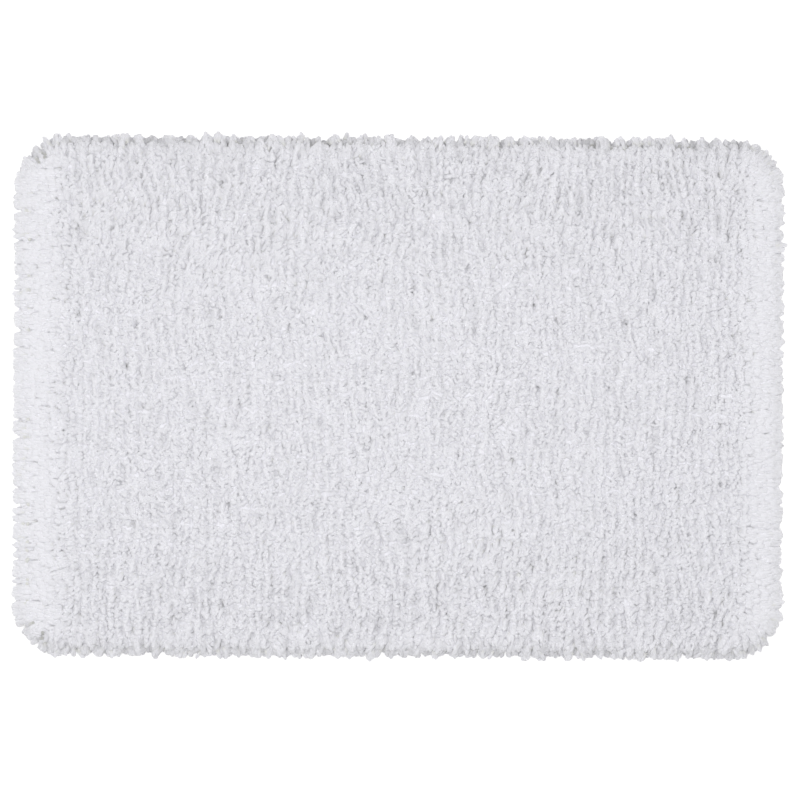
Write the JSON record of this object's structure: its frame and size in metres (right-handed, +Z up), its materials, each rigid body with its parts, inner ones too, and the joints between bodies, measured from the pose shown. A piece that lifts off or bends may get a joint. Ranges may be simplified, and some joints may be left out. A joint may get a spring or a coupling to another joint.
{
  "type": "bath mat",
  "caption": "Rectangular bath mat with rounded corners, a dense white cut pile that leans out past the hem, a turned and taped edge and a non-slip latex underside.",
  "frame": {"origin": "on the floor, under the middle of the mat's box", "axes": "+X along the long side, +Y along the short side, +Z up out of the pile"},
  "size_m": [0.9, 0.608, 0.027],
  "materials": {
    "pile_yarn": "fluffy cut pile yarn, matt, slightly cool white",
    "backing_cloth": "plain woven cloth, undyed off-white",
    "lock_latex": "milky dried latex, satin",
    "antislip_latex": "foamed latex with small grip dots, matt",
    "hem_twill": "white twill tape",
    "sewing_thread": "twisted white polyester thread",
    "label_satin": "blank woven satin"
  },
  "bodies": {
    "mat": {"antislip_coat": "antislip_latex", "lock_coat": "lock_latex", "backing_cloth": "backing_cloth", "hem_tape": "hem_twill", "needle_thread_outer": "sewing_thread", "bobbin_thread_outer": "sewing_thread", "needle_thread_inner": "sewing_thread", "bobbin_thread_inner": "sewing_thread", "label_stitch": "sewing_thread", "pile_rows_01": "pile_yarn", "pile_rows_02": "pile_yarn", "pile_rows_03": "pile_yarn", "pile_rows_04": "pile_yarn", "pile_rows_05": "pile_yarn", "pile_rows_06": "pile_yarn", "pile_rows_07": "pile_yarn", "pile_rows_08": "pile_yarn", "pile_rows_09": "pile_yarn", "pile_rows_10": "pile_yarn", "pile_rows_11": "pile_yarn", "pile_rows_12": "pile_yarn", "pile_rows_13": "pile_yarn", "pile_rows_14": "pile_yarn", "pile_rows_15": "pile_yarn", "pile_rows_16": "pile_yarn", "pile_rows_17": "pile_yarn", "pile_rows_18": "pile_yarn", "pile_rows_19": "pile_yarn", "pile_rows_20": "pile_yarn", "pile_rows_21": "pile_yarn", "pile_rows_22": "pile_yarn", "pile_rows_23": "pile_yarn", "pile_rows_24": "pile_yarn"},
    "label": {"care_label": "label_satin"}
  },
  "joints": [
    {"name": "label_flap", "type": "hinge", "parent": "mat", "child": "label", "pos_m": [0.4255, 0, 0.0007], "axis": [0, 1, 0], "range_deg": [0, 150]}
  ]
}
